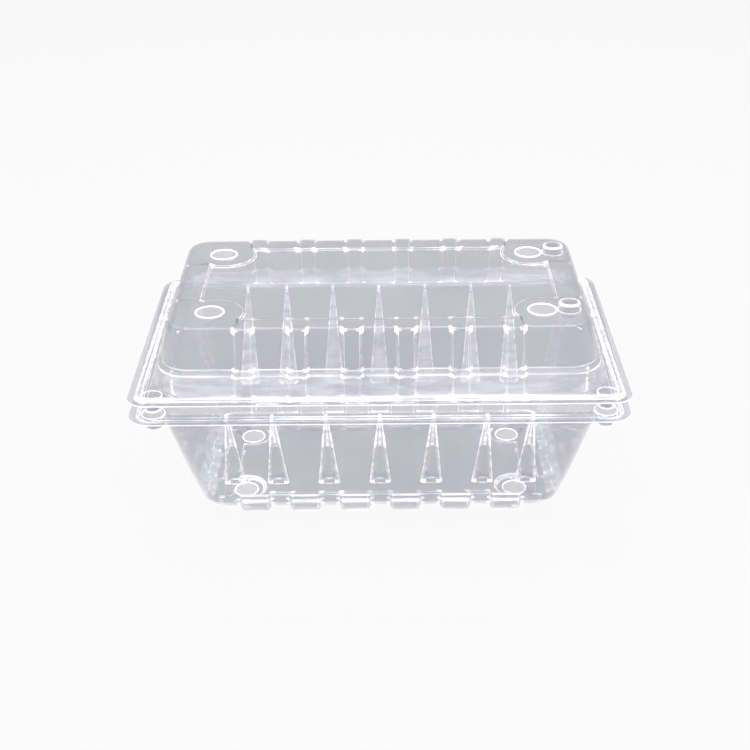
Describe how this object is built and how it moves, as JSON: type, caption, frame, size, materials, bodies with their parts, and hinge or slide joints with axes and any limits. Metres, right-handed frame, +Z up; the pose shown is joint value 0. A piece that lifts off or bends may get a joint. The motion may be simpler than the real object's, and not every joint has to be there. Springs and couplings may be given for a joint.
{
  "type": "hinged clamshell pack",
  "caption": "Clear thermoformed clamshell pack with a fluted tray, a ribbed lid on a living hinge, round vents and snap buttons at the front corners.",
  "frame": {"origin": "middle of the footprint, on the plane the feet stand on", "axes": "+X along the long side to the right, +Z up; the front is at -Y and the hinge at +Y"},
  "size_m": [0.2, 0.129, 0.0973],
  "materials": {
    "clear_sheet": "gloss"
  },
  "bodies": {
    "tray": {"base_tray": "clear_sheet", "living_hinge": "clear_sheet"},
    "cover": {"lid": "clear_sheet"}
  },
  "joints": [
    {"name": "lid_hinge", "type": "hinge", "parent": "tray", "child": "cover", "pos_m": [0, 0.0638, 0.06195], "axis": [-1, 0, 0], "range_deg": [-3.3, 176]}
  ]
}
